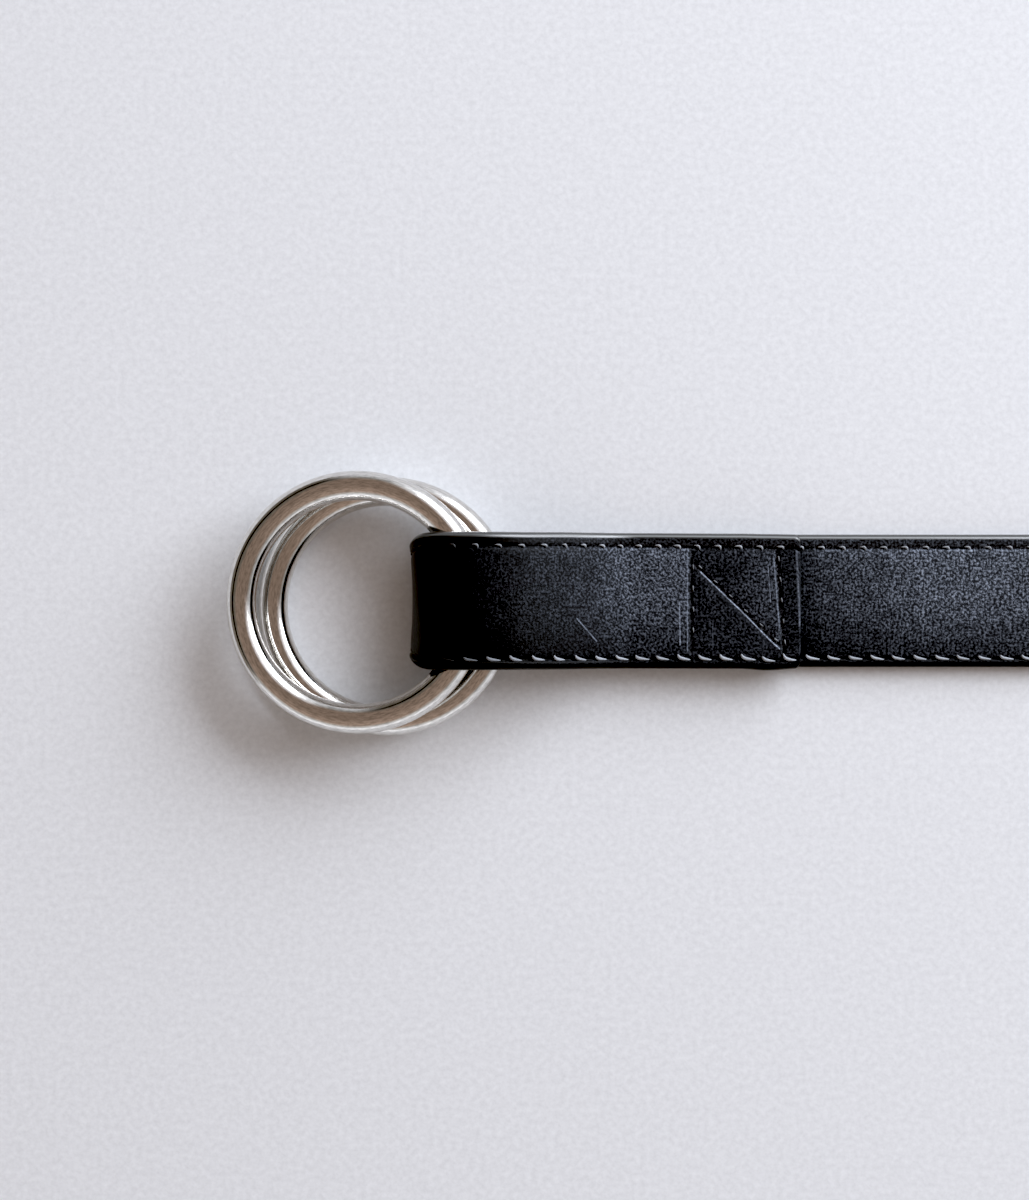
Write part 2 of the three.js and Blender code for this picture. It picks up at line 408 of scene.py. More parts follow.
def steel_material(rings):
    """Polished steel: bright, with faint polishing lines along the wire and slow waves in what it mirrors."""
    material, shader, add = new_material("Polished steel")
    flat = add("UVMap", uv_map="along_wire")
    patterns = {}
    for row in STEEL_PATTERNS:
        drawn_out = add(
            "Mapping", {"Vector": flat, "Scale": (1 / (row["along"] * MM), 1 / (row["round"] * MM), 1)})
        patterns[row["name"]] = add(
            "TexNoise", {"Vector": drawn_out, "Scale": 1.0, "Detail": row["detail"], "Roughness": 0.6})
    least, most = (rings.roughness * factor for factor in STEEL_ROUGHNESS)
    rough = add(
        "MapRange",
        {"Value": patterns["lines"], "From Min": 0.3, "From Max": 0.7, "To Min": least, "To Max": most})
    streaked = add("MapRange", {"Value": patterns["streaks"], "From Min": 0.35, "From Max": 0.6})
    dark, light = (rgba(rings.colour, shade) for shade in STEEL_SHADES)
    waves = add("Bump", {"Strength": 0.35, "Distance": 0.1 * MM, "Height": patterns["waves"]})
    lines = add(
        "Bump", {"Strength": 0.5, "Distance": 0.012 * MM, "Height": patterns["lines"], "Normal": waves})
    set_inputs(shader, {
        "Base Color": add("Mix", {0: streaked, MIX_A: dark, MIX_B: light}, data_type="RGBA"),
        "Metallic": 1.0,
        "Roughness": rough,
        "Normal": lines})
    return material


def paper_material(stage):
    """Uncoated paper: matt and nearly white, with a faint tooth."""
    material, shader, add = new_material("Uncoated paper")
    place = add("TexCoord").outputs["Object"]
    tooth = add(
        "TexNoise", {"Vector": place, "Scale": 1 / (PAPER_TOOTH * MM), "Detail": 3.0, "Roughness": 0.6})
    dark, light = (rgba(stage.paper, shade) for shade in PAPER_SHADES)
    set_inputs(shader, {
        "Base Color": add("Mix", {0: tooth, MIX_A: dark, MIX_B: light}, data_type="RGBA"),
        "Roughness": 0.9,
        "Specular IOR Level": 0.15,
        "Normal": add("Bump", {"Strength": 0.5, "Distance": 0.05 * MM, "Height": tooth})})
    return material


def new_object(name, data):
    """An object in the scene, at its origin."""
    made = bpy.data.objects.new(name, data)
    bpy.context.scene.collection.objects.link(made)
    return made


def mesh_object(name, bm, material):
    mesh = bpy.data.meshes.new(name)
    bm.to_mesh(mesh)
    bm.free()
    mesh.materials.append(material)
    return new_object(name, mesh)


def finish_piece(name, bm, material, slot, *nodes):
    """Makes a piece of a bmesh, lets it ride on the belt's one body and hides the solids it stands for."""
    piece = mesh_object(name, bm, material)
    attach(piece, "root")
    if nodes:
        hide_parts(*nodes)


class Route:
    """The middle of the leather's thickness seen from the side, in mm, by its distance from the free end."""

    BEND, CREST, LANDING = 11.8, 13.0, 51.0  # where the leather lifts, is highest, and lies flat again
    CREST_HANDLE, LANDING_HANDLE = 15.0, 13.0
    FLAP_GAP = 0.3
    STEPS = 240

    def __init__(self, tip, flap, thickness, crest_level):
        low, flap_level = thickness / 2, thickness * 1.5 + self.FLAP_GAP
        middle, rise, reach = (low + crest_level) / 2, (crest_level - low) / 2, self.BEND - thickness / 2
        self.samples = [(tip, low, -1.0, 0.0, 0.0), (self.BEND, low, -1.0, 0.0, 0.0)]
        for i in range(1, self.STEPS + 1):
            turned = math.pi * i / self.STEPS
            angle = -math.pi / 2 - turned
            way = Vector((reach * math.sin(angle), -rise * math.cos(angle))).normalized()
            self.samples.append((
                self.BEND + reach * math.cos(angle), middle + rise * math.sin(angle), *way,
                math.sin(turned) ** 2))
        self.samples.append((self.CREST, crest_level, 1.0, 0.0, 0.0))
        xs = (self.CREST, self.CREST + self.CREST_HANDLE, self.LANDING - self.LANDING_HANDLE, self.LANDING)
        levels = (crest_level, crest_level, flap_level, flap_level)
        for i in range(1, self.STEPS + 1):
            (x, run), (z, climb) = (self.cubic(values, i / self.STEPS) for values in (xs, levels))
            self.samples.append((x, z, *Vector((run, climb)).normalized(), 0.0))
        self.samples.append((flap, flap_level, 1.0, 0.0, 0.0))
        self.distances = [0.0]
        for before, after in zip(self.samples, self.samples[1:]):
            step = math.hypot(after[0] - before[0], after[1] - before[1])
            self.distances.append(self.distances[-1] + step)
        self.length = self.distances[-1]
        self.fold = 1 + self.STEPS // 2
        self.folded_xs = [sample[0] for sample in self.samples[self.fold:]]

    @staticmethod
    def cubic(values, t):
        """A Bezier curve's value and slope."""
        a, b, c, d = values
        u = 1 - t
        value = a * u ** 3 + 3 * b * u * u * t + 3 * c * u * t * t + d * t ** 3
        return value, 3 * ((b - a) * u * u + 2 * (c - b) * u * t + (d - c) * t * t)

    def at(self, distance):
        """x, z, the way towards the flap's end (x, z) and how far the leather bends there."""
        i = min(max(bisect_right(self.distances, distance) - 1, 0), len(self.samples) - 2)
        share = (distance - self.distances[i]) / (self.distances[i + 1] - self.distances[i])
        return [mix(a, b, share) for a, b in zip(self.samples[i], self.samples[i + 1])]

    def distance_on_flap(self, x):
        """The distance of the point above, on the folded part, that is x from the fold."""
        i = min(max(bisect_left(self.folded_xs, x), 1), len(self.folded_xs) - 1)
        share = (x - self.folded_xs[i - 1]) / (self.folded_xs[i] - self.folded_xs[i - 1])
        return mix(self.distances[self.fold + i - 1], self.distances[self.fold + i], share)


Station = namedtuple("Station", "distance x z way_x way_z bend upper lower taper")
Point = namedtuple("Point", "share offset through wrap")


class StrapShape:
    """The strap's form, in mm. A point of the leather is given by its distance from the free end, how far it
    is from the centre line and how far through the thickness, with the outer face positive."""

    FLARE, NIP = 0.8, 1.7  # how far the fold's edges stand out past its middle, and draw in
    NIP_POWER = 5  # how sudden that is: the corners are short
    TIP_ROUND, FLAP_ROUND = 4.0, 1.2  # corners seen from above
    TIP_FLAT = 0.3  # what is left of the thickness at the very tip
    CUT_ARRIS, CUT_STEPS = 0.35, 3  # rounding of the flap's end
    EDGE_POWER = 1.7  # of the rounding: 2 is an ellipse, and less is more of a bevel
    EDGE_WRAP = 1.9  # length of half an edge's rounding
    EDGE_STEPS = 6
    UNDER_FULL = 45.0  # from where on the underside has its full bloom: the leather leaves the fold bare
    # How much of the bloom is left low on the strap, as painted shade, and how much more there is near the
    # upper stitches, as painted light on the side facing the window, each with where it begins and ends
    # across the strap.
    LOW_BLOOM, LOW_SPAN = 0.25, (-14.0, 3.0)
    HIGH_BLOOM, HIGH_SPAN = 0.25, (8.0, 12.0)
    BORDER_SPAN = (14.0, 40.0)  # where the flap's borders take up their bloom
    STROKE_SPAN = (30.0, 42.0)  # where the brush strokes turn from upright to slanting
    BLOOM_ABOVE, ABOVE_SPAN = (0.2, 0.38), (70.0, 80.0)  # above the diagonal of the box, and where it changes
    BOX_UPRIGHT = 0.6  # how upright the brush strokes in the box are
    BORDER_SHINE, FOLD_SHINE = 0.1, 0.1  # how burnished the upper border and the fold are
    WORN_INSET, WORN_WIDTH, WORN = 0.7, 0.27, 0.58  # a painted highlight: the pale line where the upper edge's rounding catches the window light
    WORN_LEAST, WORN_SPAN = 0.15, (10.0, 42.0)  # what is left of it at the fold, and where it comes in
    AT_CORNER = 0.3  # how much of the line and of the edge's shine is left at the flap's corner
    CUT_FINISH = (0.1, 0.0, 0.0, 0.0)  # of the cut ends, in the order of LEATHER_FINISH
    NEAR_EDGE = (1.5, 1.75, 2.0, 2.2, 2.4, 2.6, 2.8, 3.0, 3.2, 3.4, 3.6, 3.85, 4.1, 4.5, 5.0)
    OUTER_STEP, INNER_STEP = 0.4, 1.0  # across the middle of each face
    STEP, FINE_STEP = 0.6, 0.3  # along the strap, and at the box stitch
    BOX_FROM, BOX_TO = 61.0, 85.0
    BOX_REACH = 5.0  # how far before the box the leather is pulled down
    PANEL_SPAN = (-0.35, 0.45)  # from a row of stitches: where the panel begins and is whole
    SHOULDER, SHOULDER_WIDTH = 0.25, 0.8  # how far the panel falls to the stitches
    HIDDEN = 1  # how far the inner face's stitches stop from where the flap hides it
    GROOVE_WIDTH = 0.35
    HOLE, HOLE_WIDTH = 0.2, 0.5
    LEDGE = 0.55  # from where the bloom ends to the middle of the stitch line
    BOX_GROOVE = 0.9  # depth of the grooves at the box's lines, against those at the edges
    BOX_FALL, BOX_PUFF = 0.34, 0.2  # how far the box is pulled down, and how far its middle puffs up
    PUFF_SPAN = (0.3, 4.5)  # from a line: where it begins to puff up, and where it is highest
    END_FALL, END_LEAD = 0.5, 2.0  # how far the flap's end falls at the box, and where before it that eases
    UNDER_RELIEF = 0.5  # how much of the box's relief shows on the underside

    def __init__(self, strap, stitches):
        self.half, self.face = strap.width / MM / 2, strap.thickness / MM / 2
        self.edge, self.tip, self.flap = strap.edge / MM, strap.tip / MM, strap.flap / MM
        self.fold_x, self.centre_y = STRAP_HIGH.x - strap.tip, STRAP_HIGH.y - strap.width / 2
        self.route = Route(self.tip, self.flap, 2 * self.face, STRAP_HIGH.z / MM - self.face)
        self.length = self.route.length
        upper = stitches.upper_row / MM
        self.row_inset = {
            ("outer", "upper"): upper, ("outer", "lower"): stitches.lower_row / MM,
            ("inner", "upper"): upper, ("inner", "lower"): stitches.inner_row / MM}
        self.tip_inset = upper
        self.groove = stitches.groove / MM
        self.face_wrap = 2 * self.EDGE_WRAP + 2 * (self.half - self.edge)
        self.rows = {}
        for row in STRAP_STITCHES:
            self.rows["outer", row["edge"]] = self.outer_row(row["edge"], stitches.pitch / MM)
            self.rows["inner", row["edge"]] = self.inner_row(row)

    def outer_row(self, edge, pitch):
        """Where the stitches start on the outer face: as spaced on the flap, then evenly to the free end."""
        found = set()
        for row in FLAP_STITCHES:
            if row["edge"] == edge:
                xs = (mix(row["from"], row["to"], i / row["stitches"]) for i in range(row["stitches"] + 1))
                found.update(round(self.route.distance_on_flap(x), 3) for x in xs)
        while min(found) > self.tip_inset + pitch:
            found.add(min(found) - pitch)
        return sorted(found)

    def inner_row(self, row):
        """Where the stitches start on the inner face. None is made where the flap hides it."""
        hidden = self.route.LANDING - self.HIDDEN
        spans = (
            (self.tip_inset + row["pitch"], self.tip - self.flap - self.HIDDEN),
            (self.tip - hidden, self.route.distance_on_flap(hidden)))
        first, found = self.tip - row["first"], []
        for low, high in spans:
            count = math.ceil((low - first) / row["pitch"])
            while first + count * row["pitch"] <= high:
                found.append(first + count * row["pitch"])
                count += 1
        return found

    def station(self, distance):
        """The strap's section at a distance from the free end."""
        x, z, way_x, way_z, bend = self.route.at(distance)
        upper, lower = self.half, -self.half
        if distance > self.length / 2 and x > FLAP_EDGES[0]["x"]:
            upper, lower = (table_value(FLAP_EDGES, x, side) for side in ("upper", "lower"))
        loss = self.NIP * bend ** self.NIP_POWER
        for away, corner in ((distance, self.TIP_ROUND), (self.length - distance, self.FLAP_ROUND)):
            loss += corner - math.sqrt(corner ** 2 - max(0.0, corner - away) ** 2)
        short = max(0.0, 1 - distance / self.edge)
        taper = max(self.TIP_FLAT, (1 - short ** self.EDGE_POWER) ** (1 / self.EDGE_POWER))
        arris = max(0.0, self.CUT_ARRIS - (self.length - distance))
        taper -= (self.CUT_ARRIS - math.sqrt(self.CUT_ARRIS ** 2 - arris ** 2)) / self.face
        return Station(distance, x, z, way_x, way_z, bend, upper - loss, lower + loss, taper)

    def place(self, station, across, through):
        """A point of the leather in the belt's frame, in metres."""
        s = station
        rim = (2 * across - s.upper - s.lower) / (s.upper - s.lower)
        lift = through * s.taper + self.FLARE * s.bend * (rim ** 2 - 1)
        return Vector((
            self.fold_x + (s.x - s.way_z * lift) * MM,
            self.centre_y + across * MM,
            (s.z + s.way_x * lift) * MM))

    def developed_on_flap(self, x, y):
        """A point of the flap's upper face on the developed leather."""
        return self.route.distance_on_flap(x), self.EDGE_WRAP + self.half - self.edge - y

    def face_points(self, middle_step):
        """The points of a section across the outer face, from just past the middle of the upper edge."""
        near = []
        for i in range(1, self.EDGE_STEPS + 1):
            angle = math.pi / 2 * i / self.EDGE_STEPS
            inset = self.edge * (1 - max(0.0, math.cos(angle)) ** (2 / self.EDGE_POWER))
            through = self.face * math.sin(angle) ** (2 / self.EDGE_POWER)
            near.append((inset, through, self.EDGE_WRAP * i / self.EDGE_STEPS))
        near += [(inset, self.face, self.EDGE_WRAP + inset - self.edge) for inset in self.NEAR_EDGE]
        points = [Point(0.0, -inset, through, wrap) for inset, through, wrap in near]
        margin, last_wrap = near[-1][0], near[-1][2]
        count = round(2 * (self.half - margin) / middle_step)
        for i in range(1, count):
            share = i / count
            wrap = mix(last_wrap, self.face_wrap - last_wrap, share)
            points.append(Point(share, mix(-margin, margin, share), self.face, wrap))
        far = [Point(1.0, inset, through, self.face_wrap - wrap) for inset, through, wrap in reversed(near)]
        return points + far

    def section_points(self):
        """The points all round a section, from the middle of the upper edge back to it."""
        inner = [
            Point(p.share, p.offset, -p.through, 2 * self.face_wrap - p.wrap)
            for p in reversed(self.face_points(self.INNER_STEP))]
        return [
            Point(0.0, 0.0, 0.0, 0.0), *self.face_points(self.OUTER_STEP),
            Point(1.0, 0.0, 0.0, self.face_wrap), *inner, Point(0.0, 0.0, 0.0, 2 * self.face_wrap)]

    def station_distances(self):
        """Where the sections stand: close at the ends and at the box stitch."""
        turns = (math.pi / 2 * i / self.EDGE_STEPS for i in range(self.EDGE_STEPS))
        found = [*(self.edge * (1 - math.cos(turn)) for turn in turns), self.edge]
        under = (self.tip - self.BOX_TO, self.tip - self.BOX_FROM)
        over = (self.route.distance_on_flap(self.BOX_FROM), self.length)
        while found[-1] < self.length - self.CUT_ARRIS - self.FINE_STEP:
            near_box = any(low <= found[-1] <= high for low, high in (under, over))
            found.append(found[-1] + (self.FINE_STEP if near_box else self.STEP))
        turns = (math.pi / 2 * i / self.CUT_STEPS for i in range(self.CUT_STEPS + 1))
        return found + [self.length - self.CUT_ARRIS * (1 - math.sin(turn)) for turn in turns]

    def right_line(self, y):
        (top_x, top_y), (bottom_x, bottom_y) = BOX_LINES["right"]
        return mix(top_x, bottom_x, (top_y - y) / (top_y - bottom_y))

    def box_fall(self, x, y):
        """How far the flap falls in and near the box stitch."""
        left, right = BOX_LINES["left"][0][0], self.right_line(y)
        away = {name: distance_to_line(x, y, ends) for name, ends in BOX_LINES.items()}
        nearest = min(away.values())
        fall = self.groove * self.BOX_GROOVE * bell(nearest, self.GROOVE_WIDTH)
        if x < left:
            return fall + self.BOX_FALL * math.exp((x - left) / self.SHOULDER_WIDTH)
        if x > right:
            return fall + mix(self.END_FALL, 0.0, smooth(x, right - self.END_LEAD, self.flap))
        return fall + self.BOX_FALL - self.BOX_PUFF * smooth(nearest, *self.PUFF_SPAN)

    def panel_share(self, station, across, face):
        """1 on the panel inside the rows of stitches, and 0 on the borders outside them."""
        upper = station.upper - across - self.row_inset[face, "upper"]
        lower = across - station.lower - self.row_inset[face, "lower"]
        tip = station.distance - self.tip_inset
        return smooth(min(upper, lower, tip), *self.PANEL_SPAN)

    def fall(self, station, across, face):
        """How far the surface falls below the plain face, at the stitches and in the box stitch."""
        total = self.groove * bell(station.distance - self.tip_inset, self.GROOVE_WIDTH)
        for edge, away in (("upper", station.upper - across), ("lower", across - station.lower)):
            row = self.row_inset[face, edge]
            distances = self.rows[face, edge]
            i = bisect_left(distances, station.distance)
            hole = min((abs(station.distance - d) for d in distances[max(0, i - 1):i + 1]), default=math.inf)
            deep = self.groove + self.HOLE * bell(hole, self.HOLE_WIDTH)
            total += deep * bell(away - row, self.GROOVE_WIDTH)
            if away > row:
                total += self.SHOULDER * math.exp((row - away) / self.SHOULDER_WIDTH)
        if face == "outer":
            on_flap = station.distance > self.length / 2
            x = station.x if on_flap else self.tip - station.distance
            if self.BOX_FROM - self.BOX_REACH < x < (self.flap if on_flap else self.BOX_TO):
                share = self.panel_share(station, across, face) * (1 if on_flap else self.UNDER_RELIEF)
                total += self.box_fall(x, across) * share
        return total

    def finish(self, station, across, face):
        """The wax bloom, the burnish, how upright its brush strokes are and the wear at a point of a face."""
        panel = self.panel_share(station, across, face)
        border = (BLOOM_ON_UPPER_BORDER[face] if across > 0 else BLOOM_ON_LOWER_BORDER) * (1 - panel)
        shine = self.BORDER_SHINE * (1 - panel) if across > 0 else 0.0
        if face == "outer":
            shine = max(shine, self.FOLD_SHINE * station.bend)
        amount, spread, upright = self.bloom(station, across, face)
        return amount * panel + border * spread, shine, upright, 0.0

    def bloom(self, station, across, face):
        """How much wax there is on the panel and beside it, and how upright its brush strokes are."""
        # Painted shade low on the strap, and painted light near its upper stitches.
        handled = mix(self.LOW_BLOOM, 1.0, smooth(across, *self.LOW_SPAN))
        handled += self.HIGH_BLOOM * smooth(across, *self.HIGH_SPAN)
        if face == "inner":
            if station.distance > self.tip - self.flap:
                return BLOOM_INSIDE, 1.0, 1.0
            return table_value(BLOOM_ON_STRAP, station.x, "amount") * handled, 1.0, 1.0
        x = station.x
        if station.distance < self.tip - self.route.BEND:
            risen = smooth(x, self.route.BEND, self.UNDER_FULL)
            return BLOOM_UNDER * risen, risen, 1.0
        spread = smooth(x, *self.BORDER_SPAN)
        if x < BOX_LINES["left"][0][0] - self.LEDGE:
            upright = 1 - smooth(x, *self.STROKE_SPAN)
            return table_value(BLOOM_ON_FLAP, x, "amount") * handled, spread, upright
        (ax, ay), (bx, by) = BOX_LINES["diagonal"]
        above = across > mix(ay, by, (x - ax) / (bx - ax))
        if above and x < self.right_line(across) + self.LEDGE / 2:
            return mix(*self.BLOOM_ABOVE, smooth(x, *self.ABOVE_SPAN)), spread, self.BOX_UPRIGHT
        # In the box the low bloom is partly painted shade.
        return BLOOM_IN_BOX, spread, self.BOX_UPRIGHT

    def edge_finish(self, station, point):
        """The same values on the rounding of an edge."""
        if point.share > 0.5:
            return 0.0, 0.0, 0.0, 0.0
        # The last value is a painted highlight, on the upper edge's rounding only.
        line = max(0.0, 1 - abs(-point.offset - self.WORN_INSET) / self.WORN_WIDTH)
        kept = smooth(station.x, *self.WORN_SPAN) if station.distance > self.length / 2 else 1.0
        whole = mix(self.AT_CORNER, 1.0, smooth(self.length - station.distance, 0.0, self.FLAP_ROUND))
        return 0.0, whole, 0.0, whole * line * mix(self.WORN_LEAST, self.WORN, kept)


class RINGBELT_OT_stage(bpy.types.Operator):
    """Lay the paper, set the window light and the room, and place the camera"""
    bl_idname = "ringbelt.stage"
    bl_label = "Stage"

    FLOOR_SIZE = 2.0
    FLOOR_LEVEL = -0.15 * MM  # the strap lies on its stitches, which stand out about this far
    LIGHT_DISTANCE = 1.7
    LIGHT_WIDTH, LIGHT_HEIGHT = 1.7, 1.0
    BEAM_AZIMUTH = math.radians(160)
    BEAM_UP, BEAM_WIDTH = 0.45, 0.11
    FILL_WAY = (-0.3, -0.95, 0)
    # Where the dim side, the glow and the fill start and are full, as cosines of the angle from their middle.
    DIM_SPAN, GLOW_SPAN, FILL_SPAN = (0.5, 0.7), (0.72, 0.98), (0.0, 1.0)
    BLACK_LEVEL = (0.014, 0.0152, 0.0178)  # the camera renders darker light than this as black

    def execute(self, context):
        stage = context.scene.ringbelt_stage
        self.lay_floor(stage)
        self.set_light(stage)
        self.set_room(context, stage)
        self.place_camera(context, stage)
        view = context.scene.view_settings
        view.view_transform = "Standard"
        view.use_curve_mapping = True
        view.curve_mapping.black_level = self.BLACK_LEVEL
        view.curve_mapping.update()
        return {"FINISHED"}

    def lay_floor(self, stage):
        bm = bmesh.new()
        level = Matrix.Translation((0, 0, self.FLOOR_LEVEL))
        bmesh.ops.create_grid(bm, x_segments=1, y_segments=1, size=self.FLOOR_SIZE, matrix=level)
        floor = mesh_object("paper", bm, paper_material(stage))

    @staticmethod
    def light_way(stage):
        """The direction from the belt to the window."""
        flat = math.cos(stage.elevation)
        return Vector((
            flat * math.cos(stage.azimuth), flat * math.sin(stage.azimuth), math.sin(stage.elevation)))

    def set_light(self, stage):
        lamp = bpy.data.lights.new("window", "AREA")
        lamp.shape = "RECTANGLE"
        lamp.size, lamp.size_y = self.LIGHT_WIDTH, self.LIGHT_HEIGHT
        lamp.energy = stage.power
        lamp.color = stage.window
        window = new_object("window", lamp)
        way = self.light_way(stage)
        window.location = way * self.LIGHT_DISTANCE
        window.rotation_euler = way.to_track_quat("Z", "Y").to_euler()

    @staticmethod
    def towards(add, way, direction, span, levels):
        """One level away from a direction and another near it, with an S between them."""
        facing = add("VectorMath", {0: way, 1: direction}, operation="DOT_PRODUCT")
        limits = dict(zip(("From Min", "From Max", "To Min", "To Max"), (*span, *levels)))
        return add("MapRange", {"Value": facing, **limits}, interpolation_type="SMOOTHSTEP")

    def set_room(self, context, stage):
        """Pale walls, darker and warmer overhead, a glow round the window and a dark beam across from it."""
        world = bpy.data.worlds.new("room")
        context.scene.world = world
        world.use_nodes = True
        world.node_tree.nodes.clear()
        add = partial(add_node, world.node_tree)
        way = add("TexCoord").outputs["Generated"]
        up = add("SeparateXYZ", {"Vector": way}).outputs["Z"]
        ramp = add("ValToRGB", {"Fac": up})
        stops = ramp.color_ramp.elements
        stops.remove(stops[1])
        for i, row in enumerate(ROOM):
            stop = stops.new(row["up"]) if i else stops[0]
            stop.color = rgba(linear(row["light"]))

        across = Vector((math.cos(self.BEAM_AZIMUTH), math.sin(self.BEAM_AZIMUTH), 0))
        side = self.towards(add, way, across, self.DIM_SPAN, (0.0, 1.0))
        walls = add("Mix", {0: side, MIX_A: ramp, MIX_B: rgba(linear(DIM_SIDE))}, data_type="RGBA")
        level = add("Math", {0: up, 1: self.BEAM_UP, 2: self.BEAM_WIDTH}, operation="COMPARE")
        beam = add("Math", {0: level, 1: side}, operation="MULTIPLY")
        room = add("Mix", {0: beam, MIX_A: walls, MIX_B: rgba(stage.beam)}, data_type="RGBA")
        filled = self.towards(add, way, self.FILL_WAY, self.FILL_SPAN, (1.0, 1 + stage.fill))
        plain = add("Background", {"Color": room, "Strength": filled})
        glow = self.towards(add, way, self.light_way(stage), self.GLOW_SPAN, (0.0, stage.glow))
        bright = add("Background", {"Color": rgba(stage.window), "Strength": glow})
        both = add("AddShader", {0: plain, 1: bright})
        add("OutputWorld", {"Surface": both})

    def place_camera(self, context, stage):
        camera = bpy.data.cameras.new("camera")
        camera.lens = stage.lens
        camera.sensor_width = 36.0
        camera.clip_start = 10 * MM
        above = new_object("camera", camera)
        above.location = (stage.camera_x, stage.camera_y, stage.height)
        context.scene.camera = above


class RINGBELT_OT_strap(bpy.types.Operator):
    """Build the leather strap with its fold, borders, panel and the relief of its stitching"""
    bl_idname = "ringbelt.strap"
    bl_label = "Leather strap"

    def execute(self, context):
        strap = context.scene.ringbelt_strap
        shape = StrapShape(strap, context.scene.ringbelt_stitches)
        distances, points = shape.station_distances(), shape.section_points()
        bm = bmesh.new()
        bmesh.ops.create_grid(bm, x_segments=len(points) - 1, y_segments=len(distances) - 1, size=1.0)
        if len(bm.verts) != len(points) * len(distances):
            raise RuntimeError("The strap's grid doesn't have a vertex for each point of each section.")
        developed = bm.loops.layers.uv.new("developed")
        layers = [bm.verts.layers.float.new(name) for name in LEATHER_FINISH]
        stations = [shape.station(distance) for distance in distances]
        flat = {}
        for vert in bm.verts:
            point = points[round((vert.co.x + 1) / 2 * (len(points) - 1))]
            row = round((vert.co.y + 1) / 2 * (len(distances) - 1))
            station = stations[row]
            across = mix(station.upper, station.lower, point.share) + point.offset
            face = "outer" if point.through > 0 else "inner"
            through = point.through
            finish = shape.edge_finish(station, point)
            if abs(through) == shape.face:
                through -= math.copysign(shape.fall(station, across, face), through)
                finish = shape.finish(station, across, face)
            if row in (0, len(stations) - 1):
                finish = shape.CUT_FINISH
            vert.co = shape.place(station, across, through)
            for layer, value in zip(layers, finish):
                vert[layer] = value
            flat[vert] = (station.distance * MM, point.wrap * MM)
        for bm_face in bm.faces:
            bm_face.smooth = True
            for loop in bm_face.loops:
                loop[developed].uv = flat[loop.vert]
        bmesh.ops.remove_doubles(bm, verts=bm.verts, dist=SAME_PLACE)
        self.close_ends(bm, developed)
        bmesh.ops.recalc_face_normals(bm, faces=bm.faces)
        finish_piece("leather_strap", bm, leather_material(strap, shape), "leather", "strap")
        return {"FINISHED"}

    @staticmethod
    def close_ends(bm, developed):
        """Fills the tip's and the flap's end, flat and with a sharp rim."""
        rim = [edge for edge in bm.edges if edge.is_boundary]
        caps = bmesh.ops.holes_fill(bm, edges=rim, sides=0)["faces"]
        if len(caps) != 2:
            raise RuntimeError("The strap isn't open at exactly its two ends.")
        for edge in rim:
            edge.smooth = False
        made = bmesh.ops.triangulate(bm, faces=caps)["faces"]
        for bm_face in made:
            bm_face.smooth = False
            for loop in bm_face.loops:
                loop[developed].uv = loop.vert.co.yz


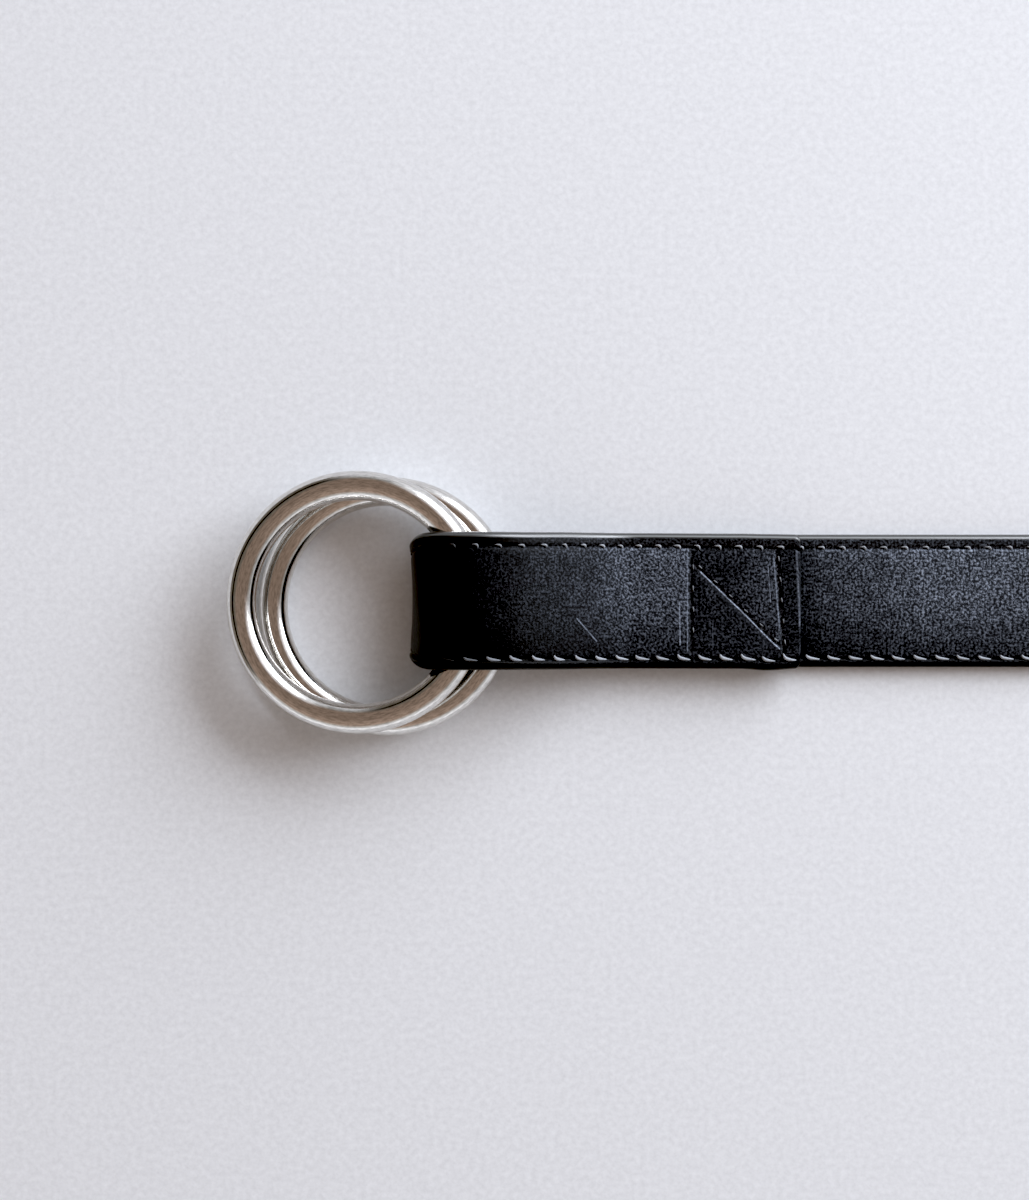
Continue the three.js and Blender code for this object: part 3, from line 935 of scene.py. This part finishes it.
class ThreadBuilder:
    """Lays stitches on the strap: each is a sphere drawn out along the thread, which dives in at its ends."""

    KNOT_SHARE, KNOT_TURN = 0.1, 0.12  # how much of the length the knot takes, and how suddenly it turns
    KNOT_LIFT, KNOT_THIN = 0.2, 0.5  # how far a knot of 1 mm stands up, and how much thinner its thread is
    DIVE, START_DIVE, END_DIVE = 0.7, 14, 6  # how deep both ends go in, and how sudden that is
    SEGMENTS, RINGS = 8, 14
    # How far a stitch may differ from its form: as a share of each value, of its bloom, and its slant in mm.
    VARIED = {"aside": 0.2, "shown": 0.08, "knot": 0.25, "thick": 0.12, "thin": 0.2}
    BLOOM_VARIED, SLANT_VARIED = 0.25, 0.15
    SEED = 7
    AHEAD = 0.02  # of the length: how far on and back the thread's direction is taken

    def __init__(self, context):
        self.stitches = context.scene.ringbelt_stitches
        self.shape = StrapShape(context.scene.ringbelt_strap, self.stitches)
        self.radius = self.stitches.thread / MM / 2
        self.bm = bmesh.new()
        self.bloom = self.bm.verts.layers.float.new("bloom")
        self.random = random.Random(self.SEED)

    def varied(self, form):
        """A form with the small differences that one stitch has from the next."""
        changed = {}
        for name, value in form.items():
            most = self.VARIED.get(name, 0.0)
            changed[name] = value * self.random.uniform(1 - most, 1 + most)
        changed["slant"] += self.random.uniform(-self.SLANT_VARIED, self.SLANT_VARIED)
        return changed

    def path(self, share, form):
        """How far a stitch has come along its row and to the side, by the share of its length."""
        knot = math.exp(-share / self.KNOT_TURN)
        run = form["shown"] * (share + self.KNOT_SHARE * (knot - 1)) / (1 - self.KNOT_SHARE)
        drift = form["aside"] + form["slant"] * (0.5 - share) + form["knot"] * knot
        return Vector((form["way"] * run, drift))

    def add(self, distance, across, along, side, outer, form, bloom=1.0):
        """A stitch with its knot at a point of the developed leather, in a row that runs along."""
        form = self.varied(form)
        bloom *= self.random.uniform(1 - self.BLOOM_VARIED, 1.0)
        made = bmesh.ops.create_uvsphere(
            self.bm, u_segments=self.SEGMENTS, v_segments=self.RINGS, radius=1.0)["verts"]
        for vert in made:
            x, y, z = vert.co
            share = (z + 1) / 2
            ring = math.hypot(x, y)
            knot = abs(form["knot"]) * math.exp(-share / self.KNOT_TURN)
            thick = self.radius * mix(form["thick"], form["thin"], share) * (1 - self.KNOT_THIN * knot)
            thick *= math.sqrt(ring) / max(ring, 1e-6)  # the sphere's narrow rings are widened to their root
            here = self.path(share, form)
            way = (self.path(share + self.AHEAD, form) - self.path(share - self.AHEAD, form)).normalized()
            vert[self.bloom] = bloom
            run, drift = here.x - way.y * x * thick, here.y + way.x * x * thick
            dive = self.DIVE * abs(z) ** (self.START_DIVE if z < 0 else self.END_DIVE)
            rise = y * thick - form["sink"] - dive + self.KNOT_LIFT * knot
            station = self.shape.station(distance + along[0] * run + side[0] * drift)
            vert.co = self.shape.place(
                station, across + along[1] * run + side[1] * drift,
                (self.shape.face + rise) * (1 if outer else -1))

    def piece(self, name):
        for bm_face in self.bm.faces:
            bm_face.smooth = True
        bmesh.ops.recalc_face_normals(self.bm, faces=self.bm.faces)
        finish_piece(name, self.bm, thread_material(self.stitches), "thread")


class RINGBELT_OT_edge_stitches(bpy.types.Operator):
    """Sew both long edges of the strap, on both faces, and across its tip"""
    bl_idname = "ringbelt.edge_stitches"
    bl_label = "Edge stitches"

    TIP_START = 0.2  # where the row across the tip starts, as a share of one stitch

    def execute(self, context):
        thread = ThreadBuilder(context)
        shape = thread.shape
        for (face, edge), distances in shape.rows.items():
            inset, outer, form = shape.row_inset[face, edge], face == "outer", STITCH_FORMS[edge]
            for distance in distances:
                station = shape.station(distance)
                across = station.upper - inset if edge == "upper" else station.lower + inset
                # Near the fold the thread is painted darker, as painted shade.
                folded = outer and distance > shape.length / 2
                bloom = table_value(BLOOM_ON_THREAD, station.x, "amount") if folded else 1.0
                thread.add(distance, across, (1 if outer else -1, 0), (0, 1), outer, form, bloom)
        inset = shape.tip_inset
        reach = shape.half - inset
        count = round(2 * reach / thread.stitches.pitch * MM)
        for i in range(count):
            across = mix(reach, -reach, (i + self.TIP_START) / count)
            for outer in (True, False):
                thread.add(inset, across, (0, -1), (1, 0), outer, STITCH_FORMS["lower"])
        thread.piece("edge_stitches")
        return {"FINISHED"}


class RINGBELT_OT_box_stitches(bpy.types.Operator):
    """Sew the flap down with two lines across it and a diagonal, through to the underside"""
    bl_idname = "ringbelt.box_stitches"
    bl_label = "Box stitches"

    FIRST = {"left": 2.5, "diagonal": 1.3, "right": 0.9}  # from the end of a line to its first stitch, mm
    BLOOM = 0.6

    def execute(self, context):
        thread = ThreadBuilder(context)
        shape, form, pitch = thread.shape, STITCH_FORMS["box"], thread.stitches.pitch / MM
        for name, ((ax, ay), (bx, by)) in BOX_LINES.items():
            length = math.hypot(bx - ax, by - ay)
            way = ((bx - ax) / length, (by - ay) / length)
            side = (way[1], -way[0])
            for i in range(int((length - self.FIRST[name] - form["shown"]) / pitch) + 1):
                share = (self.FIRST[name] + i * pitch) / length
                x, y = mix(ax, bx, share), mix(ay, by, share)
                thread.add(shape.route.distance_on_flap(x), y, way, side, True, form, self.BLOOM)
                under = (-way[0], way[1]), (-side[0], side[1])
                thread.add(shape.tip - x, y, *under, True, STITCH_FORMS["box_under"], self.BLOOM)
        thread.piece("box_stitches")
        return {"FINISHED"}


class RINGBELT_OT_rings(bpy.types.Operator):
    """Bend two round wires to rings, each where its solid lies"""
    bl_idname = "ringbelt.rings"
    bl_label = "Steel rings"

    WIRE_SEGMENTS, RING_SEGMENTS = 48, 192

    def execute(self, context):
        rings = context.scene.ringbelt_rings
        material = steel_material(rings)
        for node in ("ring_lower", "ring_upper"):
            low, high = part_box(node)
            wire = rings.wire / 2
            radius = (high.y - low.y) / 2 - wire
            tilt = math.asin(((high.z - low.z) / 2 - wire) / radius)
            bm = self.torus(radius, wire)
            turn = Matrix.Rotation(-tilt, 4, "Y")
            bmesh.ops.transform(bm, verts=bm.verts, matrix=Matrix.Translation((low + high) / 2) @ turn)
            finish_piece(f"steel_{node}", bm, material, "steel", node)
        return {"FINISHED"}

    def torus(self, radius, wire):
        """A ring round the Z axis, with a UV map in metres along the wire and round it."""
        bm = bmesh.new()
        bmesh.ops.create_circle(bm, segments=self.WIRE_SEGMENTS, radius=wire)
        stand = Matrix.Translation((radius, 0, 0)) @ Matrix.Rotation(math.pi / 2, 4, "X")
        bmesh.ops.transform(bm, verts=bm.verts, matrix=stand)
        bmesh.ops.spin(
            bm, geom=bm.verts[:] + bm.edges[:], cent=(0, 0, 0), axis=(0, 0, 1), angle=2 * math.pi,
            steps=self.RING_SEGMENTS, use_merge=True)
        bmesh.ops.remove_doubles(bm, verts=bm.verts, dist=SAME_PLACE)
        bmesh.ops.recalc_face_normals(bm, faces=bm.faces)
        along_wire = bm.loops.layers.uv.new("along_wire")
        for bm_face in bm.faces:
            bm_face.smooth = True
            middle = self.angles(bm_face.calc_center_median(), radius)
            for loop in bm_face.loops:
                turns = [
                    near + math.remainder(angle - near, 2 * math.pi)
                    for angle, near in zip(self.angles(loop.vert.co, radius), middle)]
                loop[along_wire].uv = (turns[0] * radius, turns[1] * wire)
        return bm

    @staticmethod
    def angles(point, radius):
        """Where a point is along the ring and round its wire."""
        return math.atan2(point.y, point.x), math.atan2(point.z, math.hypot(point.x, point.y) - radius)


OPERATORS = (
    RINGBELT_OT_stage, RINGBELT_OT_strap, RINGBELT_OT_edge_stitches, RINGBELT_OT_box_stitches,
    RINGBELT_OT_rings)


class RINGBELT_PT_panel(bpy.types.Panel):
    """The belt's settings and the operators that build it"""
    bl_idname = "RINGBELT_PT_panel"
    bl_label = "Ring belt"
    bl_space_type = "VIEW_3D"
    bl_region_type = "UI"
    bl_category = "Ring belt"

    def draw(self, context):
        for operator in OPERATORS:
            self.layout.operator(operator.bl_idname)
        for name, group in SETTINGS.items():
            box = self.layout.box()
            box.label(text=name.split("_")[1].capitalize())
            for field in group.__annotations__:
                box.prop(getattr(context.scene, name), field)


CLASSES = (*SETTINGS.values(), *OPERATORS, RINGBELT_PT_panel)


def register():
    for cls in CLASSES:
        bpy.utils.register_class(cls)
    for name, group in SETTINGS.items():
        setattr(bpy.types.Scene, name, bpy.props.PointerProperty(type=group))


def unregister():
    for name in SETTINGS:
        delattr(bpy.types.Scene, name)
    for cls in reversed(CLASSES):
        bpy.utils.unregister_class(cls)


def main():
    register()
    bpy.ops.ringbelt.stage()
    bpy.ops.ringbelt.strap()
    bpy.ops.ringbelt.edge_stitches()
    bpy.ops.ringbelt.box_stitches()
    bpy.ops.ringbelt.rings()


if __name__ == "__main__":
    main()
